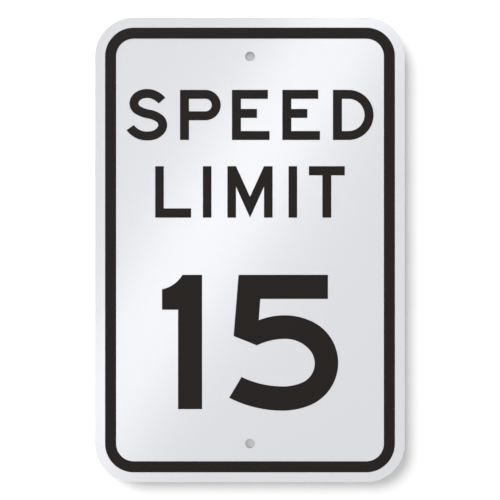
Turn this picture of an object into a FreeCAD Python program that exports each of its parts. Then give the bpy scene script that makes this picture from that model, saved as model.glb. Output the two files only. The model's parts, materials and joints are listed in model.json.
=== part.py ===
"""Speed limit sign: a flat aluminium blank, faced with white reflective sheeting and a black border.

The sign stands upright. It faces -Y, with +Z up and +X to the right of someone who reads it.
The origin is on the flat back, which lies against the post, midway between the two bolt holes.
"""
import FreeCAD, Part
import math
import os
from enum import IntEnum

import Sketcher
from FreeCAD import Vector

# Sizes in millimetres. The blank is the usual 12 x 18 in one, so most are whole fractions of an inch.
SIZES = [
    ("blank_width", "304.8", "12 in across"),
    ("blank_height", "457.2", "18 in tall"),
    ("blank_thickness", "1.6", "0.063 in aluminium sheet"),
    ("corner_radius", "38.1", "1 1/2 in, the die-cut corners"),
    ("edge_break", "0.2", "deburred edge round the back and its holes"),
    ("hole_diameter", "9.525", "3/8 in, clears a 5/16 in bolt"),
    ("hole_edge_distance", "38.1", "1 1/2 in from the top or bottom edge to a hole's centre"),
    ("sheeting_thickness", "0.2", "reflective film with its adhesive"),
    ("border_margin", "9.8", "white margin between the sign's edge and the border"),
    ("border_width", "10.9", "width of the black line"),
    ("border_thickness", "0.08", "black film"),
    ("sharpest_corner", "1", "radius of the tightest corner that the film is cut to"),
]

# A point nearer than this to a plane, in millimetres, lies on it.
ON_PLANE = 1e-6


class Point(IntEnum):
    """How a sketch numbers the points of a curve."""

    START = 1
    END = 2
    CENTRE = 3


class Axis(IntEnum):
    """How a sketch numbers its own axes."""

    HORIZONTAL = -1
    VERTICAL = -2


# The axes cross at the start of the horizontal one.
SKETCH_ORIGIN = (Axis.HORIZONTAL, Point.START)


def make_size_sheet():
    """Puts each size in a row of the spreadsheet, with its name as the cell's alias."""
    size_sheet = document.addObject("Spreadsheet::Sheet", "Sizes")
    for row, (alias, value, meaning) in enumerate(SIZES, start=1):
        size_sheet.set(f"A{row}", alias)
        size_sheet.set(f"B{row}", value)
        size_sheet.setAlias(f"B{row}", alias)
        size_sheet.set(f"C{row}", meaning)
    document.recompute()
    return size_sheet


def make_body(name, back_distance):
    """Starts a body whose back lies that far in front of the sign's back; the distance is a formula."""
    body = document.addObject("PartDesign::Body", name)
    body.Label = name
    body.setExpression(".Placement.Base.y", f"-({back_distance})")
    return body


def make_sketch(body, name):
    """Adds a sketch on the body's own upright plane: its axes are the sign's X and Z, its normal -Y."""
    plane = next(item for item in body.Origin.OriginFeatures if item.Role == "XZ_Plane")
    sketch = body.newObject("Sketcher::SketchObject", name)
    sketch.AttachmentSupport = [(plane, "")]
    sketch.MapMode = "FlatFace"
    return sketch


def bind(sketch, name, formula, kind, *geometry):
    """Adds a named driving constraint whose value is a formula of the sizes."""
    value = float(sheet.evalExpression(formula))
    index = sketch.addConstraint(Sketcher.Constraint(kind, *geometry, value))
    sketch.renameConstraint(index, name)
    sketch.setExpression(f"Constraints.{name}", formula)


def draw_rounded_rectangle(sketch, name, width, height, radius):
    """Draws a rectangle with round corners about the sketch's origin, from three formulas."""
    wide, tall, rounding = (float(sheet.evalExpression(formula)) for formula in (width, height, radius))
    corner_x = wide / 2 - rounding
    corner_z = tall / 2 - rounding

    # The corners and the straight edges before them run anticlockwise, from the bottom edge.
    corners = []
    for number, (side_x, side_z) in enumerate([(1, -1), (1, 1), (-1, 1), (-1, -1)]):
        circle = Part.Circle(Vector(side_x * corner_x, side_z * corner_z, 0), Vector(0, 0, 1), rounding)
        start_angle = math.radians(90 * (number - 1))
        corners.append(Part.ArcOfCircle(circle, start_angle, start_angle + math.pi / 2))
    edges = [
        Part.LineSegment(corners[number - 1].EndPoint, corner.StartPoint)
        for number, corner in enumerate(corners)
    ]
    corners = [sketch.addGeometry(corner, False) for corner in corners]
    edges = [sketch.addGeometry(edge, False) for edge in edges]

    for number, corner in enumerate(corners):
        next_edge = edges[(number + 1) % len(edges)]
        direction = "Horizontal" if number % 2 == 0 else "Vertical"
        sketch.addConstraint(Sketcher.Constraint(direction, edges[number]))
        sketch.addConstraint(Sketcher.Constraint("Tangent", edges[number], Point.END, corner, Point.START))
        sketch.addConstraint(Sketcher.Constraint("Tangent", corner, Point.END, next_edge, Point.START))
    for corner in corners[1:]:
        sketch.addConstraint(Sketcher.Constraint("Equal", corners[0], corner))
    opposite_centres = (corners[0], Point.CENTRE, corners[2], Point.CENTRE)
    sketch.addConstraint(Sketcher.Constraint("Symmetric", *opposite_centres, *SKETCH_ORIGIN))

    bottom_edge, right_edge, top_edge, left_edge = edges
    bind(sketch, f"{name}_radius", radius, "Radius", corners[0])
    bind(sketch, f"{name}_width", width, "DistanceX", left_edge, Point.START, right_edge, Point.START)
    bind(sketch, f"{name}_height", height, "DistanceY", bottom_edge, Point.START, top_edge, Point.START)


def pad(body, name, sketch, thickness):
    """Thickens a sketch towards the reader, by a formula."""
    layer = body.newObject("PartDesign::Pad", name)
    layer.Profile = sketch
    layer.setExpression("Length", thickness)
    sketch.Visibility = False
    document.recompute()
    return layer


def punch_bolt_holes(body, layer):
    """Cuts the two bolt holes, on the sign's centre line, right through a layer."""
    sketch = make_sketch(body, f"{body.Name}_bolt_holes")
    holes = []
    for side_z in (1, -1):
        centre_z = side_z * float(sheet.evalExpression("Sizes.blank_height / 2 - Sizes.hole_edge_distance"))
        hole = Part.Circle(Vector(0, centre_z, 0), Vector(0, 0, 1), float(sheet.hole_diameter) / 2)
        holes.append(sketch.addGeometry(hole, False))
    top_hole, bottom_hole = holes
    sketch.addConstraint(Sketcher.Constraint("Equal", top_hole, bottom_hole))
    sketch.addConstraint(Sketcher.Constraint("PointOnObject", top_hole, Point.CENTRE, Axis.VERTICAL))
    hole_centres = (top_hole, Point.CENTRE, bottom_hole, Point.CENTRE)
    sketch.addConstraint(Sketcher.Constraint("Symmetric", *hole_centres, *SKETCH_ORIGIN))
    spacing = "Sizes.blank_height - 2 * Sizes.hole_edge_distance"
    bind(sketch, "hole_diameter", "Sizes.hole_diameter", "Diameter", top_hole)
    bind(sketch, "hole_spacing", spacing, "DistanceY", bottom_hole, Point.CENTRE, top_hole, Point.CENTRE)

    punch = body.newObject("PartDesign::Pocket", f"{body.Name}_punched")
    punch.Profile = sketch
    punch.Type = "ThroughAll"
    punch.Reversed = True
    sketch.Visibility = False
    document.recompute()
    if punch.Shape.Volume >= layer.Shape.Volume:
        raise RuntimeError(f"the bolt holes of {body.Label} cut nothing")
    return punch


def break_back_edges(body, layer):
    """Rounds the sharp edges that shearing and punching leave round the back and its two holes."""
    on_back = [
        f"Edge{number}"
        for number, edge in enumerate(layer.Shape.Edges, start=1)
        if all(abs(vertex.Y) < ON_PLANE for vertex in edge.Vertexes)
    ]
    fillet = body.newObject("PartDesign::Fillet", "deburred_edges")
    fillet.Base = (layer, on_back)
    fillet.setExpression("Radius", "min(Sizes.edge_break; Sizes.blank_thickness / 3)")
    document.recompute()


def make_face_layer(name, back_distance, thickness):
    """Makes a sheet with the blank's outline and bolt holes, and gives its body and last feature."""
    body = make_body(name, back_distance)
    outline = make_sketch(body, f"{name}_outline")
    draw_rounded_rectangle(
        outline, "outline", "Sizes.blank_width", "Sizes.blank_height", "Sizes.corner_radius"
    )
    layer = pad(body, f"{name}_sheet", outline, thickness)
    return body, punch_bolt_holes(body, layer)


def make_aluminium_blank():
    """The aluminium blank: cut, round-cornered and punched in one press, then deburred."""
    body, punched = make_face_layer("aluminium_blank", "0", "Sizes.blank_thickness")
    break_back_edges(body, punched)
    return body


def make_reflective_sheeting():
    """White reflective film, rolled onto the whole front and trimmed flush with edge and holes."""
    body, _ = make_face_layer("reflective_sheeting", "Sizes.blank_thickness", "Sizes.sheeting_thickness")
    return body


def make_black_border():
    """The black line round the face, as one ring whose corners share the blank's corner centres."""
    body = make_body("black_border", "Sizes.blank_thickness + Sizes.sheeting_thickness")
    sketch = make_sketch(body, "border_outlines")
    outer_inset = "Sizes.border_margin"
    inner_inset = "(Sizes.border_margin + Sizes.border_width)"
    for name, inset in (("outer", outer_inset), ("inner", inner_inset)):
        draw_rounded_rectangle(
            sketch,
            name,
            f"Sizes.blank_width - 2 * {inset}",
            f"Sizes.blank_height - 2 * {inset}",
            f"max(Sizes.corner_radius - {inset}; Sizes.sharpest_corner)",
        )
    pad(body, "border_film", sketch, "Sizes.border_thickness")
    return body


def check(bodies):
    """Stops if any feature failed, or if a piece isn't one sound solid."""
    for item in document.Objects:
        if "Invalid" in item.State or "Error" in item.State:
            raise RuntimeError(f"{item.Label} failed: {item.State}")
    for body in bodies:
        if body.Shape.isNull() or not body.Shape.isValid() or len(body.Shape.Solids) != 1:
            raise RuntimeError(f"{body.Label} isn't one sound solid")


document = FreeCAD.newDocument("speed_limit_sign")
sheet = make_size_sheet()
pieces = [make_aluminium_blank(), make_reflective_sheeting(), make_black_border()]
document.recompute()
check(pieces)

os.makedirs("parts", exist_ok=True)
for piece in pieces:
    piece.Shape.exportStep(f"parts/{piece.Label}.step")
    box = piece.Shape.optimalBoundingBox()
    print(
        f"{piece.Label}: {box.XLength:.2f} x {box.YLength:.2f} x {box.ZLength:.2f} mm,"
        f" y {box.YMin:.2f} to {box.YMax:.2f}, {piece.Shape.Volume:.0f} mm3"
    )
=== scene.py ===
# %% [markdown]
# # A speed limit sign
#
# The sign is a flat aluminium blank with round corners and two bolt holes. White reflective film
# covers its front, and the border and the legend are cut from black film and laid on top. The packed
# CAD model gives the sizes and the place of the blank, the white film and the border. This script
# makes each of them again with finer edges, adds the letters and digits, and gives every surface its
# finish. In the frame, which is in metres, the sign stands upright, faces -Y and has its back on y = 0.

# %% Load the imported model
import json
import math

import bmesh
import bpy
from mathutils import Matrix, Vector


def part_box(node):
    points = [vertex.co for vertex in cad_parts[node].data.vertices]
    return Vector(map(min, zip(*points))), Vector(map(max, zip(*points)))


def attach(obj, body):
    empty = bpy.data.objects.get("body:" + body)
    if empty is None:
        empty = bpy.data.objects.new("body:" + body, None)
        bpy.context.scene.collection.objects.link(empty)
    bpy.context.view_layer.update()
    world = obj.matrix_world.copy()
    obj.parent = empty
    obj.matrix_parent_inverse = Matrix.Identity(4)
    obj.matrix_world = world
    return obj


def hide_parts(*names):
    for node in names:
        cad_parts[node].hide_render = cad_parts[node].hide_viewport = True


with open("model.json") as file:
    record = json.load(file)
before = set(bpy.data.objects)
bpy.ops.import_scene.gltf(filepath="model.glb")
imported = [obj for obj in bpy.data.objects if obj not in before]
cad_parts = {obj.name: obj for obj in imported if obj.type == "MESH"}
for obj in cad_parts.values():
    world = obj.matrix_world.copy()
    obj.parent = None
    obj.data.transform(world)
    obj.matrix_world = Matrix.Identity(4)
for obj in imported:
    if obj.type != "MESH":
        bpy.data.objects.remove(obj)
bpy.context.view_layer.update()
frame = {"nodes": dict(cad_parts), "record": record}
print("nodes:", sorted(frame["nodes"]))

# %% [markdown]
# ## Sizes
#
# The outlines below are drawn in millimetres, because sign drawings are. The boxes of the three nodes
# and the bolt holes in the record's mount are read from the frame. The corner radius and the width of
# the black line aren't among its measures, so they are written here, as they are in the CAD.

# %% Read the sizes of the three layers
MM = 0.001
blank_low, blank_high = (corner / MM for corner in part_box("aluminium_blank"))
sheeting_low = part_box("reflective_sheeting")[0] / MM
border_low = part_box("black_border")[0] / MM

BLANK_WIDTH = blank_high.x - blank_low.x
BLANK_HEIGHT = blank_high.z - blank_low.z
BLANK_BACK = blank_high.y
BLANK_FRONT = blank_low.y
SHEETING_FRONT = sheeting_low.y
FILM_FRONT = border_low.y
BORDER_MARGIN = border_low.x - blank_low.x
CORNER_RADIUS = 38.1
BORDER_WIDTH = 10.9

bolts = next(mount for mount in frame["record"]["mounts"] if mount["name"] == "post_bolts")
HOLE_RADIUS = bolts["dims"]["hole_r_mm"]
HOLE_SPACING = bolts["dims"]["spacing_y_mm"]
print(f"blank {BLANK_WIDTH:.1f} x {BLANK_HEIGHT:.1f} mm, holes {2 * HOLE_RADIUS:.2f} mm wide")

# %% [markdown]
# ## A pen for outlines
#
# A sign shop cuts every shape here with a blade that follows an outline: straight runs, and round
# runs that join them smoothly. The outlines could be typed as long lists of points, or come from a
# font. Here a small pen draws them with two bmesh operators instead. extrude_vert_indiv pulls a
# vertex along a straight run, and spin sweeps it round a centre. The centre lies square to the way
# that the pen is heading, so each arc runs on smoothly from what came before it.
#
# The same pen can also hold a short edge, as a broad nib. Spinning an edge leaves a band of faces
# behind it, which is how a stroke of constant width is painted.

# %% The pen
DEGREES_A_STEP = 2.5
TOWARDS_BACK = Vector((0, 1, 0))


class Pen:
    """Draws on the sign's upright plane, in millimetres: x to the reader's right, z up.

    Headings and turns are degrees clockwise, as the reader sees them, and 0 points right.
    """

    def __init__(self, drawing, x, z, heading=0, nib=0):
        self.drawing = drawing
        self.heading = heading
        self.start = Vector((x, 0, z))
        across = self.right_hand() * nib / 2
        if nib:
            ends = [drawing.verts.new(self.start + across), drawing.verts.new(self.start - across)]
            self.tip = [*ends, drawing.edges.new(ends)]
        else:
            self.tip = [drawing.verts.new(self.start)]

    def right_hand(self):
        """The direction square to the heading, on the pen's right."""
        heading = math.radians(self.heading)
        return Vector((-math.sin(heading), 0, -math.cos(heading)))

    def place(self):
        """The middle of the tip."""
        points = [item.co for item in self.tip if isinstance(item, bmesh.types.BMVert)]
        return sum(points, Vector()) / len(points)

    def line_to(self, x, z):
        """Draws a straight run with a vertex tip."""
        way = Vector((x, 0, z)) - self.place()
        self.tip = bmesh.ops.extrude_vert_indiv(self.drawing, verts=self.tip)["verts"]
        bmesh.ops.translate(self.drawing, verts=self.tip, vec=way)
        self.heading = math.degrees(math.atan2(-way.z, way.x))

    def arc(self, radius, turn):
        """Draws a round run, clockwise where the turn is positive."""
        centre = self.place() + self.right_hand() * math.copysign(radius, turn)
        spun = bmesh.ops.spin(
            self.drawing,
            geom=self.tip,
            cent=centre,
            axis=TOWARDS_BACK,
            angle=math.radians(turn),
            steps=max(1, round(abs(turn) / DEGREES_A_STEP)),
        )
        self.tip = spun["geom_last"]
        self.heading += turn

    def close(self):
        """Draws straight back to where the outline began."""
        self.line_to(self.start.x, self.start.z)


# %% Try the pen
trial = bmesh.new()
trial_pen = Pen(trial, 0, 0)
trial_pen.arc(radius=10, turn=90)
print("a quarter turn of radius 10 ends at", tuple(round(value, 3) for value in trial_pen.place()))

# %% [markdown]
# ## From an outline to a piece
#
# A cut film is its outline with a thickness. triangle_fill closes the outline with faces and leaves
# the counters of letters open, extrude_face_region pulls those faces forward and adds the walls, and
# a small bevel rounds the rim that the blade leaves. Walls and rims are shaded smooth, so that the
# steps of the arcs don't show. The front and back stay flat, because smoothing them would bend the
# light near their edges. Filling, thickening and softening are tried on the pen's quarter turn, which
# becomes a quarter of a disc.

# %% Fill and thicken
MERGE_DISTANCE = 0.005


def fill(drawing):
    """Closes the drawn outlines with faces, unless a nib has painted them already."""
    bmesh.ops.remove_doubles(drawing, verts=drawing.verts, dist=MERGE_DISTANCE)
    if not drawing.faces:
        bmesh.ops.triangle_fill(drawing, edges=drawing.edges, use_beauty=True, normal=TOWARDS_BACK)


def thicken(drawing, back, front):
    """Turns the flat faces into a sheet between two depths, with its normals outward."""
    bmesh.ops.translate(drawing, verts=drawing.verts, vec=TOWARDS_BACK * back)
    pulled = bmesh.ops.extrude_face_region(drawing, geom=drawing.faces, use_keep_orig=True)
    pulled_verts = [item for item in pulled["geom"] if isinstance(item, bmesh.types.BMVert)]
    bmesh.ops.translate(drawing, verts=pulled_verts, vec=TOWARDS_BACK * (front - back))
    bmesh.ops.recalc_face_normals(drawing, faces=drawing.faces)


trial_pen.line_to(0, -10)
trial_pen.close()
fill(trial)
thicken(trial, back=0, front=-2)
print("the quarter disc, thickened by 2 mm, has", len(trial.faces), "faces")

# %% Soften a rim
RIM_SEGMENTS = 3
DEPTH_TOLERANCE = 0.001
WALL_LIMIT = 0.5


def is_wall(face):
    """Whether a face looks sideways more than to the front or the back."""
    return abs(face.normal.y) < WALL_LIMIT


def soften(drawing, depth, radius):
    """Rounds every edge between a wall and the flat face at that depth."""
    rim = [
        edge
        for edge in drawing.edges
        if all(abs(vert.co.y - depth) < DEPTH_TOLERANCE for vert in edge.verts)
        and any(is_wall(face) for face in edge.link_faces)
    ]
    bmesh.ops.bevel(
        drawing,
        geom=rim,
        offset=radius,
        segments=RIM_SEGMENTS,
        profile=0.5,
        affect="EDGES",
        material=-1,
    )


soften(trial, depth=-2, radius=0.2)
print("with its front rim softened, it has", len(trial.faces), "faces")
trial.free()

# %% Make it an object
FLAT_LIMIT = 0.999


def make_piece(name, drawing):
    """Makes the drawing an object in metres that rides on the sign."""
    for face in drawing.faces:
        face.smooth = abs(face.normal.y) < FLAT_LIMIT
    bmesh.ops.scale(drawing, verts=drawing.verts, vec=Vector((MM, MM, MM)))
    mesh = bpy.data.meshes.new(name)
    drawing.to_mesh(mesh)
    drawing.free()
    piece = bpy.data.objects.new(name, mesh)
    bpy.context.scene.collection.objects.link(piece)
    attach(piece, "root")
    print(f"made {name}, {len(mesh.polygons)} faces")
    return piece


# %% [markdown]
# ## The aluminium blank
#
# The real blank is sheared from 1.6 mm sheet, then its corners and its bolt holes are cut in a press.
# Shearing leaves a sharp edge at the back, which is broken to a small round so that nobody is cut.
# The CAD node has this form, but each of its round corners is only about fifteen straight facets. The
# piece below has the same outline in finer steps and stands for the node.

# %% The outline that the blank and the sheeting share
HOLE_STEPS = 96
UPRIGHT = Matrix.Rotation(math.radians(90), 4, "X")


def draw_rounded_rectangle(drawing, width, height, radius):
    """Draws a rectangle with round corners about the sign's middle."""
    half_width = width / 2
    half_height = height / 2
    pen = Pen(drawing, radius - half_width, half_height)
    pen.line_to(half_width - radius, half_height)
    pen.arc(radius, 90)
    pen.line_to(half_width, radius - half_height)
    pen.arc(radius, 90)
    pen.line_to(radius - half_width, -half_height)
    pen.arc(radius, 90)
    pen.line_to(-half_width, half_height - radius)
    pen.arc(radius, 90)


def draw_punched_sheet():
    """The sign's outline with its two bolt holes."""
    drawing = bmesh.new()
    draw_rounded_rectangle(drawing, BLANK_WIDTH, BLANK_HEIGHT, CORNER_RADIUS)
    for side in (1, -1):
        centre = Matrix.Translation((0, 0, side * HOLE_SPACING / 2))
        bmesh.ops.create_circle(
            drawing, cap_ends=False, radius=HOLE_RADIUS, segments=HOLE_STEPS, matrix=centre @ UPRIGHT
        )
    fill(drawing)
    return drawing


drawing = draw_punched_sheet()
print("the punched outline has", len(drawing.verts), "points")

# %% Build the blank
EDGE_BREAK = 0.2
FACE_MATERIAL = 0
EDGE_MATERIAL = 1

thicken(drawing, BLANK_BACK, BLANK_FRONT)
soften(drawing, BLANK_BACK, EDGE_BREAK)
for face in drawing.faces:
    face.material_index = EDGE_MATERIAL if is_wall(face) else FACE_MATERIAL
punched_blank = make_piece("punched_blank", drawing)
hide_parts("aluminium_blank")

# %% [markdown]
# ## The white sheeting
#
# Sign shops roll the sheeting onto the blank and trim it flush with the edge and the holes, so it
# has the blank's outline. It is only 0.2 mm thick, and the trimming knife presses its rim down a
# little, which is the thin bright line that the real edge shows.

# %% Build the sheeting
SHEETING_RIM = 0.06

drawing = draw_punched_sheet()
thicken(drawing, BLANK_FRONT, SHEETING_FRONT)
soften(drawing, SHEETING_FRONT, SHEETING_RIM)
white_sheeting = make_piece("white_sheeting", drawing)
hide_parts("reflective_sheeting")

# %% [markdown]
# ## The black border
#
# One ring of black film. Its corners share their centres with the corners of the blank, so that the
# white margin outside the line is as wide round the corner as along the sides. The letters and digits
# are cut from the same film, so one function makes them all and keeps them in a list.

# %% Build the border
FILM_RIM = 0.02
black_films = []


def make_film(name, drawing):
    """Cuts a drawing from black film, lays it on the sheeting and lists it with the black films."""
    fill(drawing)
    thicken(drawing, SHEETING_FRONT, FILM_FRONT)
    soften(drawing, FILM_FRONT, FILM_RIM)
    film = make_piece(name, drawing)
    black_films.append(film)
    return film


drawing = bmesh.new()
for inset in (BORDER_MARGIN, BORDER_MARGIN + BORDER_WIDTH):
    draw_rounded_rectangle(
        drawing, BLANK_WIDTH - 2 * inset, BLANK_HEIGHT - 2 * inset, CORNER_RADIUS - inset
    )
border_line = make_film("border_line", drawing)
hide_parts("black_border")

# %% [markdown]
# ## The word SPEED
#
# Road sign letters are drawn from strokes of one width with round runs, so that they read from far
# away. The heights, strokes and places below are the sizes of this sign.
#
# S has no straight run and no outline of its own worth drawing: it is one stroke. The nib starts in
# the middle of its spine and is swept out both ways, through a wide arc, the tight shoulder and three
# flatter arcs to the tail. Both halves turn clockwise, because the letter nearly has a half-turn
# symmetry, and the lower half is a little larger, so that the letter doesn't look top-heavy. Each run
# is a radius in millimetres and a turn in degrees.

# %% S
SPEED_STROKE = 8.9
S_MIDDLE = (-99.5, 133.75)
S_SLOPE = 8.8
S_UPPER_RUNS = ((30.1, 22.3), (7.7, 90), (10.9, 37.2), (17.5, 43.3), (21.3, 27.5))
S_LOWER_RUNS = ((23.6, 27.1), (8.1, 90), (14.2, 44.0), (26.9, 14.8), (19.6, 50.3))


def draw_s():
    """Sweeps the nib from the middle of the spine to each end."""
    drawing = bmesh.new()
    for heading, runs in ((S_SLOPE, S_LOWER_RUNS), (S_SLOPE + 180, S_UPPER_RUNS)):
        pen = Pen(drawing, *S_MIDDLE, heading, nib=SPEED_STROKE)
        for radius, turn in runs:
            pen.arc(radius, turn)
        print(f"S: an end at {pen.place().x:.1f}, {pen.place().z:.1f} mm")
    return drawing


make_film("letter_s", draw_s())

# %% [markdown]
# P and D have straight runs and half circles, with the counter drawn as a second outline that the
# fill leaves open. E is a stem with three arms, and has straight runs alone.

# %% P
SPEED_BASE = 108.2
SPEED_TOP = 157.6
P_LEFT = -68.9


def draw_p(left):
    """A stem, and a bowl whose outer and inner edges are half circles about one centre."""
    bowl_centre = left + 25.1
    bowl_radius = 15.0
    stem_edge = left + SPEED_STROKE
    drawing = bmesh.new()
    pen = Pen(drawing, left, SPEED_BASE)
    pen.line_to(left, SPEED_TOP)
    pen.line_to(bowl_centre, SPEED_TOP)
    pen.arc(bowl_radius, 180)
    pen.line_to(stem_edge, SPEED_TOP - 2 * bowl_radius)
    pen.line_to(stem_edge, SPEED_BASE)
    pen.close()

    counter = Pen(drawing, stem_edge, SPEED_TOP - SPEED_STROKE)
    counter.line_to(bowl_centre, SPEED_TOP - SPEED_STROKE)
    counter.arc(bowl_radius - SPEED_STROKE, 180)
    counter.line_to(stem_edge, SPEED_TOP - 2 * bowl_radius + SPEED_STROKE)
    counter.close()
    return drawing


make_film("letter_p", draw_p(P_LEFT))

# %% Both E
FIRST_E_LEFT = -17.8
SECOND_E_LEFT = 31.8


def draw_e(left):
    """A stem and three arms, of which the middle one is the shortest and the lowest the longest."""
    upper_arm_end = left + 35.4
    middle_arm_end = left + 24.7
    lower_arm_end = left + 37.1
    middle = 134.4
    stem_edge = left + SPEED_STROKE
    drawing = bmesh.new()
    pen = Pen(drawing, left, SPEED_BASE)
    pen.line_to(left, SPEED_TOP)
    pen.line_to(upper_arm_end, SPEED_TOP)
    pen.line_to(upper_arm_end, SPEED_TOP - SPEED_STROKE)
    pen.line_to(stem_edge, SPEED_TOP - SPEED_STROKE)
    pen.line_to(stem_edge, middle + SPEED_STROKE / 2)
    pen.line_to(middle_arm_end, middle + SPEED_STROKE / 2)
    pen.line_to(middle_arm_end, middle - SPEED_STROKE / 2)
    pen.line_to(stem_edge, middle - SPEED_STROKE / 2)
    pen.line_to(stem_edge, SPEED_BASE + SPEED_STROKE)
    pen.line_to(lower_arm_end, SPEED_BASE + SPEED_STROKE)
    pen.line_to(lower_arm_end, SPEED_BASE)
    pen.close()
    return drawing


make_film("letter_e_1", draw_e(FIRST_E_LEFT))
make_film("letter_e_2", draw_e(SECOND_E_LEFT))

# %% D
D_LEFT = 81.6


def draw_d(left):
    """A stem, and a bowl of the letter's full height."""
    bowl_centre = left + 15.3
    bowl_radius = (SPEED_TOP - SPEED_BASE) / 2
    stem_edge = left + SPEED_STROKE
    drawing = bmesh.new()
    pen = Pen(drawing, left, SPEED_BASE)
    pen.line_to(left, SPEED_TOP)
    pen.line_to(bowl_centre, SPEED_TOP)
    pen.arc(bowl_radius, 180)
    pen.close()

    counter = Pen(drawing, stem_edge, SPEED_TOP - SPEED_STROKE)
    counter.line_to(bowl_centre, SPEED_TOP - SPEED_STROKE)
    counter.arc(bowl_radius - SPEED_STROKE, 180)
    counter.line_to(stem_edge, SPEED_BASE + SPEED_STROKE)
    counter.close()
    return drawing


make_film("letter_d", draw_d(D_LEFT))

# %% [markdown]
# ## The word LIMIT
#
# Only straight runs, so each letter is a few corners that the pen joins. The first I, the M and the
# second I are centred on the sign.

# %% L
LIMIT_BASE = 31.8
LIMIT_TOP = 82.5
LIMIT_STROKE = 8.5
L_LEFT = -93.3


def draw_straight(*corners):
    """An outline of straight runs from corner to corner."""
    drawing = bmesh.new()
    pen = Pen(drawing, *corners[0])
    for corner in corners[1:]:
        pen.line_to(*corner)
    pen.close()
    return drawing


def draw_l(left):
    """A stem and a foot."""
    stem_edge = left + LIMIT_STROKE
    foot_edge = left + 35.4
    foot_top = LIMIT_BASE + 9.2
    return draw_straight(
        (left, LIMIT_BASE),
        (left, LIMIT_TOP),
        (stem_edge, LIMIT_TOP),
        (stem_edge, foot_top),
        (foot_edge, foot_top),
        (foot_edge, LIMIT_BASE),
    )


make_film("letter_l", draw_l(L_LEFT))

# %% The first I
FIRST_I_LEFT = -46.4


def draw_i(left):
    """A stem alone."""
    right = left + LIMIT_STROKE
    return draw_straight((left, LIMIT_BASE), (left, LIMIT_TOP), (right, LIMIT_TOP), (right, LIMIT_BASE))


make_film("letter_i_1", draw_i(FIRST_I_LEFT))

# %% M
def draw_m():
    """Two stems and the V between them, whose point stands on the base line."""
    half_width = 22.25
    stem_edge = half_width - LIMIT_STROKE
    upper_notch = 52.4
    lower_notch = 62.2
    return draw_straight(
        (-half_width, LIMIT_BASE),
        (-half_width, LIMIT_TOP),
        (-stem_edge, LIMIT_TOP),
        (0, upper_notch),
        (stem_edge, LIMIT_TOP),
        (half_width, LIMIT_TOP),
        (half_width, LIMIT_BASE),
        (stem_edge, LIMIT_BASE),
        (stem_edge, lower_notch),
        (0, LIMIT_BASE),
        (-stem_edge, lower_notch),
        (-stem_edge, LIMIT_BASE),
    )


make_film("letter_m", draw_m())

# %% The second I and T
SECOND_I_LEFT = 37.9
T_LEFT = 57.9


def draw_t(left):
    """A bar, and a stem under its middle."""
    right = left + 35.4
    bar_bottom = LIMIT_TOP - 9.1
    stem_width = 8.8
    stem_left = (left + right - stem_width) / 2
    stem_right = stem_left + stem_width
    return draw_straight(
        (left, LIMIT_TOP),
        (right, LIMIT_TOP),
        (right, bar_bottom),
        (stem_right, bar_bottom),
        (stem_right, LIMIT_BASE),
        (stem_left, LIMIT_BASE),
        (stem_left, bar_bottom),
        (left, bar_bottom),
    )


make_film("letter_i_2", draw_i(SECOND_I_LEFT))
make_film("letter_t", draw_t(T_LEFT))

# %% [markdown]
# ## The number 15
#
# The digits are over two and a half times as tall as the letters. The flag of the 1 is hollowed out
# by one arc. The bowl of the 5 isn't a stroke of constant width: its outer and its inner edge are
# two chains of arcs, each with its own radii, drawn one after the other in one outline.

# %% The 1
NUMBER_TOP = -24.4
NUMBER_BASE = -156.6


def draw_one():
    """A stem, and a flag with a hollow upper edge."""
    stem_left = -70.8
    stem_right = -47.1
    flag_left = -86.6
    flag_top = -38.6
    flag_bottom = -58.8
    hollow_heading = -11.4
    hollow_radius = 30.5
    hollow_turn = -47.6
    drawing = bmesh.new()
    pen = Pen(drawing, stem_right, NUMBER_BASE)
    pen.line_to(stem_left, NUMBER_BASE)
    pen.line_to(stem_left, flag_bottom)
    pen.line_to(flag_left, flag_bottom)
    pen.line_to(flag_left, flag_top)
    pen.heading = hollow_heading
    pen.arc(hollow_radius, hollow_turn)
    pen.line_to(stem_right, NUMBER_TOP)
    pen.close()
    return drawing


make_film("digit_1", draw_one())

# %% The 5
FIVE_OUTER_RUNS = ((71.2, 21.1), (62.5, 25.2), (45.2, 132.9), (70.7, 21.9), (115.4, 27.1))
FIVE_INNER_RUNS = ((95.0, -25.6), (47.9, -22.5), (20.5, -110.0), (31.9, -47.5), (64.1, -25.9))


def draw_five():
    """A bar, a leaning stem, and the bowl, both of whose edges run level after their first arc."""
    bar_left = -11.3
    bar_right = 76.7
    bar_bottom = -48.15
    stem_top = (10.2, bar_bottom)
    bowl_start = (8.6, -69.0)
    tail_corner = (-8.4, -124.9)
    stem_foot = (-16.1, -84.7)
    drawing = bmesh.new()
    pen = Pen(drawing, bar_left, NUMBER_TOP)
    pen.line_to(bar_right, NUMBER_TOP)
    pen.line_to(bar_right, bar_bottom)
    pen.line_to(*stem_top)
    pen.line_to(*bowl_start)
    pen.heading = -FIVE_OUTER_RUNS[0][1]
    for radius, turn in FIVE_OUTER_RUNS:
        pen.arc(radius, turn)
    print(f"5: the outer edge ends at {pen.place().x:.1f}, {pen.place().z:.1f} mm")
    pen.line_to(*tail_corner)
    pen.heading = -FIVE_INNER_RUNS[0][1]
    for radius, turn in FIVE_INNER_RUNS:
        pen.arc(radius, turn)
    print(f"5: the inner edge ends at {pen.place().x:.1f}, {pen.place().z:.1f} mm")
    pen.line_to(*stem_foot)
    pen.close()
    return drawing


make_film("digit_5", draw_five())
print("black films:", [film.name for film in black_films])

# %% [markdown]
# ## Nodes with one helper
#
# A material is a small graph of nodes. One function adds any node, sets its options and fills its
# inputs: a plain value is set on the socket, and another node's output is linked. Output 0 is a
# node's main one. A Mix node has its sockets once for each kind of value, all under the same names,
# so they go by number.
#
# Colours are written as the hex values that a screen shows, and one function turns them into the
# linear values that the renderer works in. Patterns are sized in millimetres: a texture's scale is
# how many of its cells fit in a metre of Object coordinates.

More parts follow.
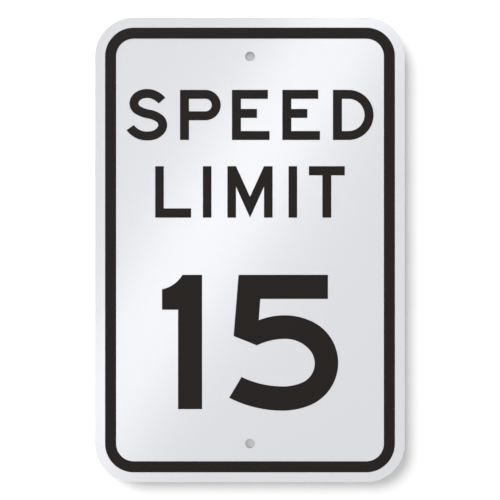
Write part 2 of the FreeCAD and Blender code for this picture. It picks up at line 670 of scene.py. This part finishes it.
# %% Materials and nodes
MIX_SHARE = 0
MIX_NUMBER_A = 2
MIX_NUMBER_B = 3
MIX_COLOUR_A = 6
MIX_COLOUR_B = 7
MIX_COLOUR_OUT = 2


def new_material(name):
    """An empty material and its node tree."""
    material = bpy.data.materials.new(name)
    material.use_nodes = True
    material.node_tree.nodes.clear()
    print("new material:", name)
    return material, material.node_tree


def add_node(tree, kind, settings=None, inputs=None):
    """Adds a node with its settings, and with a value or a link for each input that is named."""
    node = tree.nodes.new(kind)
    for name, value in (settings or {}).items():
        setattr(node, name, value)
    for name, value in (inputs or {}).items():
        if isinstance(value, bpy.types.NodeSocket):
            tree.links.new(value, node.inputs[name])
        else:
            node.inputs[name].default_value = value
    return node


# %% Colour and scale
def colour(hex_value):
    """The linear colour, with alpha, of an sRGB hex value such as #dcdde1."""
    channels = [int(hex_value[place:place + 2], 16) / 255 for place in (1, 3, 5)]
    linear = [c / 12.92 if c <= 0.04045 else ((c + 0.055) / 1.055) ** 2.4 for c in channels]
    return (*linear, 1)


def cells_of(millimetres):
    """The texture scale at which one cell of a pattern is that wide."""
    return 1 / (millimetres * MM)


print("#dcdde1 is linear", [round(value, 3) for value in colour("#dcdde1")])
print("a cell of 0.8 mm has the scale", round(cells_of(0.8)))

# %% [markdown]
# ## White reflective sheeting
#
# Enclosed-bead sheeting is a clear glossy film over a layer of glass beads, with a vapour coat of
# aluminium behind them. That is why its white is a little grey and pearly, and why a lamp leaves a
# soft bright band on it where plain white paint would stay even. A Principled shader with a share of
# metal gives the pearl. The beads are about 0.06 mm wide, far too fine to show, so their mottling is
# drawn as cells of 0.8 mm and is very faint. The film also has a slight orange peel from rolling.

# %% Beads and orange peel
BEAD_CELL = 0.8
ORANGE_PEEL = 5.0
PEEL_DEPTH = 0.01

white_film, tree = new_material("white_enclosed_bead_sheeting")
place = add_node(tree, "ShaderNodeTexCoord").outputs["Object"]
beads = add_node(
    tree,
    "ShaderNodeTexVoronoi",
    inputs={"Vector": place, "Scale": cells_of(BEAD_CELL), "Randomness": 1.0},
)
tint = add_node(
    tree,
    "ShaderNodeMix",
    {"data_type": "RGBA"},
    {
        MIX_SHARE: beads.outputs["Distance"],
        MIX_COLOUR_A: colour("#dddee2"),
        MIX_COLOUR_B: colour("#d9dade"),
    },
)
peel = add_node(
    tree, "ShaderNodeTexNoise", inputs={"Vector": place, "Scale": cells_of(ORANGE_PEEL), "Detail": 2.0}
)
surface = add_node(
    tree,
    "ShaderNodeBump",
    inputs={"Strength": 0.25, "Distance": PEEL_DEPTH * MM, "Height": peel.outputs[0]},
)

# %% The white sheeting's shader
roughness = add_node(
    tree,
    "ShaderNodeMapRange",
    inputs={"Value": beads.outputs["Distance"], "To Min": 0.14, "To Max": 0.17},
)
shader = add_node(
    tree,
    "ShaderNodeBsdfPrincipled",
    inputs={
        "Base Color": tint.outputs[MIX_COLOUR_OUT],
        "Metallic": 0.3,
        "Roughness": roughness.outputs[0],
        "Normal": surface.outputs[0],
        "Specular IOR Level": 0.3,
    },
)
add_node(tree, "ShaderNodeOutputMaterial", inputs={"Surface": shader.outputs[0]})
white_sheeting.data.materials.append(white_film)
print(white_film.name, "has", len(tree.nodes), "nodes")

# %% [markdown]
# ## Black film
#
# The border and the legend are calendered vinyl film: coloured through, satin, with a fine grain from
# the rollers. It is dark enough that its sheen decides how it looks, so the specular level is set low
# and the roughness high. The grain is drawn at 0.6 mm, coarser than the real one, so that it shows.

# %% The black film's material
VINYL_GRAIN = 0.6
VINYL_DEPTH = 0.01

black_vinyl, tree = new_material("black_calendered_vinyl_film")
place = add_node(tree, "ShaderNodeTexCoord").outputs["Object"]
grain = add_node(
    tree, "ShaderNodeTexNoise", inputs={"Vector": place, "Scale": cells_of(VINYL_GRAIN), "Detail": 3.0}
)
tint = add_node(
    tree,
    "ShaderNodeMix",
    {"data_type": "RGBA"},
    {
        MIX_SHARE: grain.outputs[0],
        MIX_COLOUR_A: colour("#1b1816"),
        MIX_COLOUR_B: colour("#201c1b"),
    },
)
surface = add_node(
    tree,
    "ShaderNodeBump",
    inputs={"Strength": 0.2, "Distance": VINYL_DEPTH * MM, "Height": grain.outputs[0]},
)
shader = add_node(
    tree,
    "ShaderNodeBsdfPrincipled",
    inputs={
        "Base Color": tint.outputs[MIX_COLOUR_OUT],
        "Roughness": 0.6,
        "Normal": surface.outputs[0],
        "Specular IOR Level": 0.1,
    },
)
add_node(tree, "ShaderNodeOutputMaterial", inputs={"Surface": shader.outputs[0]})
for film in black_films:
    film.data.materials.append(black_vinyl)
print(black_vinyl.name, "has", len(tree.nodes), "nodes, on", len(black_films), "films")

# %% [markdown]
# ## Mill-finish aluminium
#
# The back is bare sheet as it leaves the rolling mill: a soft grey metal, marked along the way it was
# rolled, here the sign's height. The rolls leave fine streaks, and broader bands where they were worn
# or wet. Both are noise, stretched until it is far longer than wide. They change the colour a little,
# the roughness more, and the streaks tilt the surface, which spreads a highlight across them. Real
# streaks are under 0.1 mm wide, and these are drawn at 0.9 mm. A noise keeps close to its middle, so
# only that part of it is stretched over the two colours and the two roughnesses.

# %% Streaks and bands
STREAK_WIDTH = 0.9
STREAK_LENGTH = 160.0
BAND_WIDTH = 14.0
BAND_SHARE = 0.45

mill_aluminium, tree = new_material("mill_finish_aluminium")
place = add_node(tree, "ShaderNodeTexCoord").outputs["Object"]
rolled_place = add_node(
    tree,
    "ShaderNodeMapping",
    {"vector_type": "POINT"},
    {
        "Vector": place,
        "Scale": (cells_of(STREAK_WIDTH), cells_of(STREAK_WIDTH), cells_of(STREAK_LENGTH)),
    },
)
streaks = add_node(
    tree,
    "ShaderNodeTexNoise",
    inputs={"Vector": rolled_place.outputs[0], "Scale": 1.0, "Detail": 3.0, "Roughness": 0.6},
)
bands = add_node(
    tree,
    "ShaderNodeTexNoise",
    inputs={"Vector": rolled_place.outputs[0], "Scale": STREAK_WIDTH / BAND_WIDTH, "Detail": 2.0},
)
marks = add_node(
    tree,
    "ShaderNodeMix",
    {"data_type": "FLOAT"},
    {MIX_SHARE: BAND_SHARE, MIX_NUMBER_A: streaks.outputs[0], MIX_NUMBER_B: bands.outputs[0]},
)

# %% The back's shader
NOISE_MIDDLE = {"From Min": 0.3, "From Max": 0.7}
STREAK_DEPTH = 0.02

mark_share = add_node(tree, "ShaderNodeMapRange", inputs={"Value": marks.outputs[0], **NOISE_MIDDLE})
tint = add_node(
    tree,
    "ShaderNodeMix",
    {"data_type": "RGBA"},
    {
        MIX_SHARE: mark_share.outputs[0],
        MIX_COLOUR_A: colour("#a9abae"),
        MIX_COLOUR_B: colour("#c9cbce"),
    },
)
roughness = add_node(
    tree,
    "ShaderNodeMapRange",
    inputs={"Value": marks.outputs[0], **NOISE_MIDDLE, "To Min": 0.24, "To Max": 0.42},
)
surface = add_node(
    tree,
    "ShaderNodeBump",
    inputs={"Strength": 0.35, "Distance": STREAK_DEPTH * MM, "Height": streaks.outputs[0]},
)
shader = add_node(
    tree,
    "ShaderNodeBsdfPrincipled",
    inputs={
        "Base Color": tint.outputs[MIX_COLOUR_OUT],
        "Metallic": 1.0,
        "Roughness": roughness.outputs[0],
        "Normal": surface.outputs[0],
    },
)
add_node(tree, "ShaderNodeOutputMaterial", inputs={"Surface": shader.outputs[0]})
punched_blank.data.materials.append(mill_aluminium)
print(mill_aluminium.name, "has", len(tree.nodes), "nodes")

# %% [markdown]
# ## The sheared edge
#
# A sheared edge has two bands. Next to the front, where the blade entered, the metal was burnished
# smooth and bright. Behind it the metal tore, and is matt and darker. The depth in the edge is the Y
# of the Object coordinates, so one Map Range gives the place of the change. The torn metal's grain is
# drawn at 0.6 mm, coarser than the real one.

# %% Where the edge is torn
BURNISHED_DEPTH = 0.5
CHANGE_DEPTH = 0.2
TORN_GRAIN = 0.6

sheared_edge, tree = new_material("sheared_aluminium_edge")
place = add_node(tree, "ShaderNodeTexCoord").outputs["Object"]
depth = add_node(tree, "ShaderNodeSeparateXYZ", inputs={0: place})
torn_share = add_node(
    tree,
    "ShaderNodeMapRange",
    inputs={
        "Value": depth.outputs["Y"],
        "From Min": (BLANK_FRONT + BURNISHED_DEPTH) * MM,
        "From Max": (BLANK_FRONT + BURNISHED_DEPTH + CHANGE_DEPTH) * MM,
    },
)
torn_grain = add_node(
    tree, "ShaderNodeTexNoise", inputs={"Vector": place, "Scale": cells_of(TORN_GRAIN), "Detail": 3.0}
)
roughened = add_node(
    tree,
    "ShaderNodeMath",
    {"operation": "MULTIPLY"},
    {0: torn_share.outputs[0], 1: torn_grain.outputs[0]},
)

# %% The edge's shader
TORN_DEPTH = 0.03

tint = add_node(
    tree,
    "ShaderNodeMix",
    {"data_type": "RGBA"},
    {
        MIX_SHARE: torn_share.outputs[0],
        MIX_COLOUR_A: colour("#cdcfd1"),
        MIX_COLOUR_B: colour("#a5a7aa"),
    },
)
roughness = add_node(
    tree,
    "ShaderNodeMapRange",
    inputs={"Value": torn_share.outputs[0], "To Min": 0.34, "To Max": 0.5},
)
surface = add_node(
    tree,
    "ShaderNodeBump",
    inputs={"Strength": 0.2, "Distance": TORN_DEPTH * MM, "Height": roughened.outputs[0]},
)
shader = add_node(
    tree,
    "ShaderNodeBsdfPrincipled",
    inputs={
        "Base Color": tint.outputs[MIX_COLOUR_OUT],
        "Metallic": 1.0,
        "Roughness": roughness.outputs[0],
        "Normal": surface.outputs[0],
    },
)
add_node(tree, "ShaderNodeOutputMaterial", inputs={"Surface": shader.outputs[0]})
punched_blank.data.materials.append(sheared_edge)
print(sheared_edge.name, "has", len(tree.nodes), "nodes")

# %% [markdown]
# ## A white studio
#
# The sign hangs just in front of a white wall, over a white floor. They are there for the sign's soft
# shadow. Both are shown to the camera alone, so that they don't light the sign, and both are clear
# from behind, so that they hide it from no side. Part of their white is a glow of their own: it makes
# them plain white where no shadow falls, and a photographed shadow on white paper is never dark. The
# floor lies askew to the light and needs more of that glow than the wall. The studio's sizes and places
# are in metres.

# %% White card
CARD_GREY = 0.9
FLOOR_GLOW = 0.5
WALL_GLOW = 0.28


def make_white_card(name, strength):
    """White card with a glow of its own, clear from behind."""
    material, tree = new_material(name)
    lit = add_node(tree, "ShaderNodeBsdfDiffuse", inputs={"Color": (CARD_GREY, CARD_GREY, CARD_GREY, 1)})
    glow = add_node(tree, "ShaderNodeEmission", inputs={"Strength": strength})
    front = add_node(tree, "ShaderNodeAddShader", inputs={0: lit.outputs[0], 1: glow.outputs[0]})
    side = add_node(tree, "ShaderNodeNewGeometry")
    clear = add_node(tree, "ShaderNodeBsdfTransparent")
    surface = add_node(
        tree,
        "ShaderNodeMixShader",
        inputs={0: side.outputs["Backfacing"], 1: front.outputs[0], 2: clear.outputs[0]},
    )
    add_node(tree, "ShaderNodeOutputMaterial", inputs={"Surface": surface.outputs[0]})
    return material


floor_card = make_white_card("floor_card", FLOOR_GLOW)
wall_card = make_white_card("wall_card", WALL_GLOW)

# %% Floor and wall
FLOOR_Z = -0.32
FLOOR_SIZE = 8.0
WALL_Y = 0.0125
WALL_SIZE = 5.0


def make_card(name, drawing, material, seen_by):
    """Makes a flat drawing a card in the studio, which one kind of ray alone meets."""
    mesh = bpy.data.meshes.new(name)
    drawing.to_mesh(mesh)
    drawing.free()
    mesh.materials.append(material)
    card = bpy.data.objects.new(name, mesh)
    for ray in ("camera", "diffuse", "glossy", "transmission", "volume_scatter", "shadow"):
        setattr(card, f"visible_{ray}", ray == seen_by)
    bpy.context.scene.collection.objects.link(card)


def draw_square(size, matrix):
    """A flat square, turned and placed by the matrix."""
    drawing = bmesh.new()
    bmesh.ops.create_grid(drawing, x_segments=1, y_segments=1, size=size / 2, matrix=matrix)
    return drawing


floor_place = Matrix.Translation((0, 0, FLOOR_Z))
make_card("floor", draw_square(FLOOR_SIZE, floor_place), floor_card, "camera")
wall_place = Matrix.Translation((0, WALL_Y, FLOOR_Z + WALL_SIZE / 2))
make_card("wall", draw_square(WALL_SIZE, wall_place @ UPRIGHT), wall_card, "camera")
print(f"the wall is {WALL_Y / MM:.1f} mm behind the sign")

# %% [markdown]
# The bare metal at the back would throw light from behind onto the wall, into the shadow. A black card
# right behind the sign, which only diffuse rays meet, keeps that light out.

# %% Black card
BLACK_CARD_Y = 0.0003

black_card, tree = new_material("black_card")
black = add_node(tree, "ShaderNodeBsdfDiffuse", inputs={"Color": (0, 0, 0, 1)})
add_node(tree, "ShaderNodeOutputMaterial", inputs={"Surface": black.outputs[0]})

drawing = draw_punched_sheet()
bmesh.ops.scale(drawing, verts=drawing.verts, vec=Vector((MM, MM, MM)))
bmesh.ops.translate(drawing, verts=drawing.verts, vec=TOWARDS_BACK * BLACK_CARD_Y)
make_card("gap_card", drawing, black_card, "diffuse")
print(f"the black card is {BLACK_CARD_Y / MM:.1f} mm behind the sign")

# %% [markdown]
# ## Light
#
# The world shows as plain white behind everything and in the metal. To the diffuse rays that gather
# light for matt surfaces it is dim, so that it fills the shadows a little and doesn't flood the sign.

# %% World
WORLD_FILL = 0.055

world = bpy.data.worlds.new("white_studio")
world.use_nodes = True
tree = world.node_tree
tree.nodes.clear()
light_path = add_node(tree, "ShaderNodeLightPath")
camera_or_glossy = add_node(
    tree,
    "ShaderNodeMath",
    {"operation": "MAXIMUM"},
    {0: light_path.outputs["Is Camera Ray"], 1: light_path.outputs["Is Glossy Ray"]},
)
shown = add_node(
    tree,
    "ShaderNodeMath",
    {"operation": "MAXIMUM"},
    {0: camera_or_glossy.outputs[0], 1: light_path.outputs["Is Transmission Ray"]},
)
strength = add_node(
    tree, "ShaderNodeMapRange", inputs={"Value": shown.outputs[0], "To Min": WORLD_FILL, "To Max": 1.0}
)
background = add_node(
    tree, "ShaderNodeBackground", inputs={"Color": (1, 1, 1, 1), "Strength": strength.outputs[0]}
)
add_node(tree, "ShaderNodeOutputWorld", inputs={"Surface": background.outputs[0]})
bpy.context.scene.world = world
print("the world fills with", WORLD_FILL, "of white")

# %% [markdown]
# The key light comes from the upper left and gives two thirds of all light. It could be a large area
# lamp, but then the near corner of the sign would be the brightest. A sun lamp is the same from
# everywhere, and its disc can be made as broad as a studio's largest softbox, so that the shadow on the
# wall fades softly, down and to the right.

# %% Key
KEY_PLACE = (-8.9, -10.0, 8.9)
KEY_STRENGTH = 3.46
KEY_DISC_DEGREES = 55


def add_lamp(name, lamp, place, roll=0):
    """Puts a lamp at a place, turned towards the sign and rolled about its own beam."""
    lamp_object = bpy.data.objects.new(name, lamp)
    to_sign = (-Vector(place)).to_track_quat("-Z", "Y").to_matrix().to_4x4()
    rolled = Matrix.Rotation(math.radians(roll), 4, "Z")
    lamp_object.matrix_world = Matrix.Translation(place) @ to_sign @ rolled
    lamp_object.visible_camera = False
    bpy.context.scene.collection.objects.link(lamp_object)
    print(name, "shines from", place)
    return lamp_object


key_light = bpy.data.lights.new("key", "SUN")
key_light.energy = KEY_STRENGTH
key_light.angle = math.radians(KEY_DISC_DEGREES)
add_lamp("key_lamp", key_light, KEY_PLACE)

# %% [markdown]
# A square fill far in front reaches into the bolt holes. A narrow strip behind the camera adds almost
# no light, but the sheeting mirrors it as the bright diagonal band. The last softbox lights the bare
# metal from behind.

# %% Fill, strip and back
FILL_PLACE = (-0.58, -10.4, 0.58)
FILL_SIZE = 3.0
FILL_RADIANCE = 8.4
STRIP_PLACE = (-0.139, -2.5, 0)
STRIP_ROLL = -32.8
STRIP_WIDTH = 0.26
STRIP_HEIGHT = 3.0
STRIP_RADIANCE = 1.09
BACK_PLACE = (1.4, 2.2, 1.0)
BACK_WIDTH = 1.2
BACK_HEIGHT = 2.0
BACK_RADIANCE = 2.5


def make_softbox(name, width, height, radiance):
    """A rectangular lamp whose power follows from its radiance and its area."""
    lamp = bpy.data.lights.new(name, "AREA")
    lamp.shape = "RECTANGLE"
    lamp.size = width
    lamp.size_y = height
    lamp.energy = math.pi * radiance * width * height
    return lamp


fill_light = make_softbox("fill", FILL_SIZE, FILL_SIZE, FILL_RADIANCE)
fill_lamp = add_lamp("fill_lamp", fill_light, FILL_PLACE)
fill_lamp.visible_glossy = False

strip_light = make_softbox("strip", STRIP_WIDTH, STRIP_HEIGHT, STRIP_RADIANCE)
add_lamp("strip_lamp", strip_light, STRIP_PLACE, roll=STRIP_ROLL)

back_light = make_softbox("back", BACK_WIDTH, BACK_HEIGHT, BACK_RADIANCE)
add_lamp("back_lamp", back_light, BACK_PLACE)

# %% [markdown]
# ## Camera
#
# The photograph looks at the sign squarely. A long lens at a good distance keeps its sides parallel.
# The distance follows from the width that the picture takes in at the sign's front.

# %% Camera
LENS = 100.0
SENSOR = 36.0
PICTURE_WIDTH = 0.492

camera = bpy.data.cameras.new("camera")
camera.lens = LENS
camera.sensor_width = SENSOR
camera_object = bpy.data.objects.new("camera", camera)
distance = PICTURE_WIDTH * LENS / SENSOR
camera_object.location = (0, SHEETING_FRONT * MM - distance, 0)
camera_object.rotation_euler = (math.radians(90), 0, 0)
bpy.context.scene.collection.objects.link(camera_object)
bpy.context.scene.camera = camera_object
bpy.context.scene.view_settings.view_transform = "Standard"
print(f"the camera is {distance:.3f} m in front of the sign")
